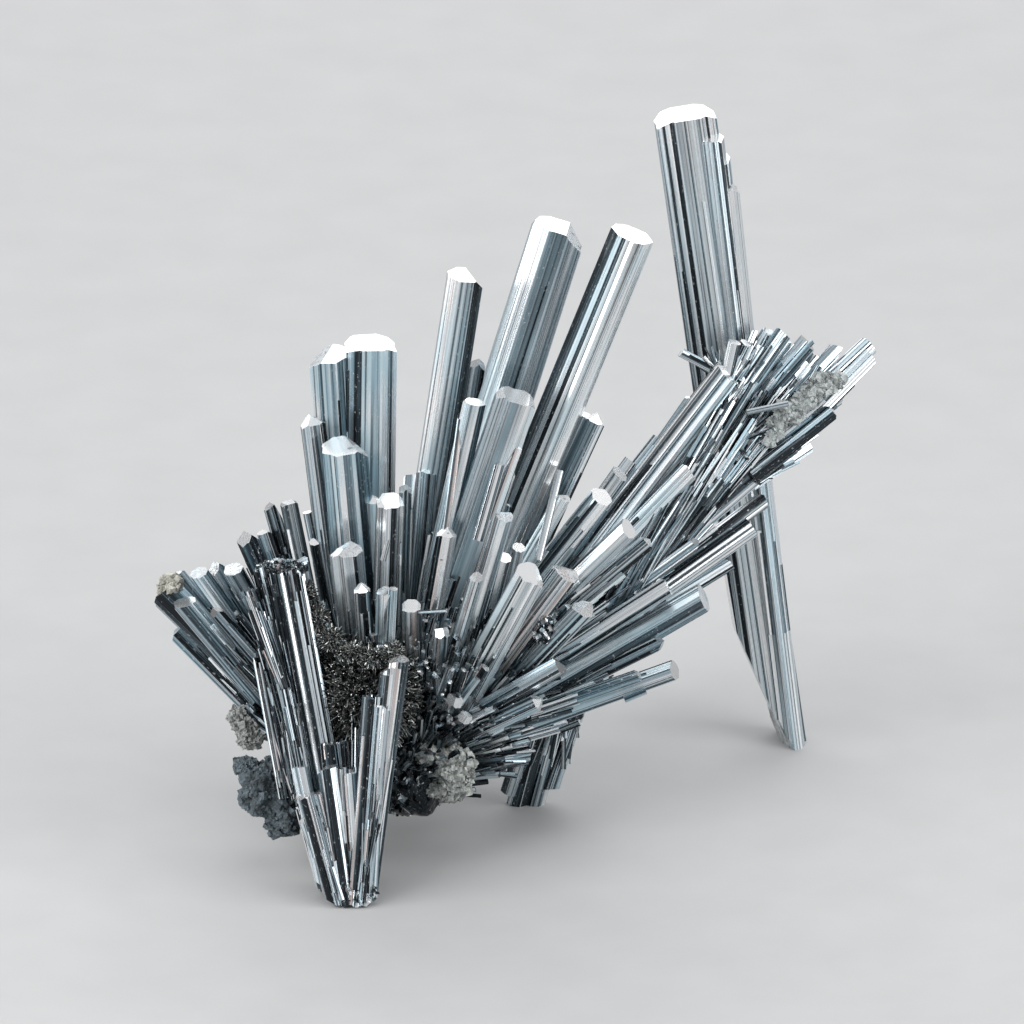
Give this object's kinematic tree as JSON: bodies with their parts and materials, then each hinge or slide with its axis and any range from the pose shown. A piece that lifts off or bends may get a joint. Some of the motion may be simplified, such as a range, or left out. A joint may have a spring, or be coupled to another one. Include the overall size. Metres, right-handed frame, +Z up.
{
  "type": "stibnite crystal spray",
  "caption": "Radiating spray of long, striated, steel-grey bladed crystals on a needle-lined root with bits of matrix, standing on its own crystal feet.",
  "frame": {"origin": "centre of the bounding box at the floor that the feet stand on", "axes": "+X to the right of the front view, +Y away from the viewer, +Z up"},
  "size_m": [0.2176, 0.1628, 0.1959],
  "materials": {
    "stibnite": "bright metallic faces, striated along each crystal",
    "needles": "dark fine needles with bright edges",
    "matrix": "rough, dull"
  },
  "bodies": {
    "root": {"long_crystal": "stibnite", "tall_group": "stibnite", "centre_fan": "stibnite", "right_bundle": "stibnite", "front_foot": "stibnite", "lower_right_fan": "stibnite", "left_fan": "stibnite", "back_fan": "stibnite", "front_column": "stibnite", "outer_cluster": "stibnite", "foot_stubs": "stibnite", "root_mass": "stibnite", "needle_crust": "needles", "matrix_left_upper": "matrix", "matrix_left_lower": "matrix", "matrix_front": "matrix", "matrix_outer": "matrix"}
  },
  "joints": []
}
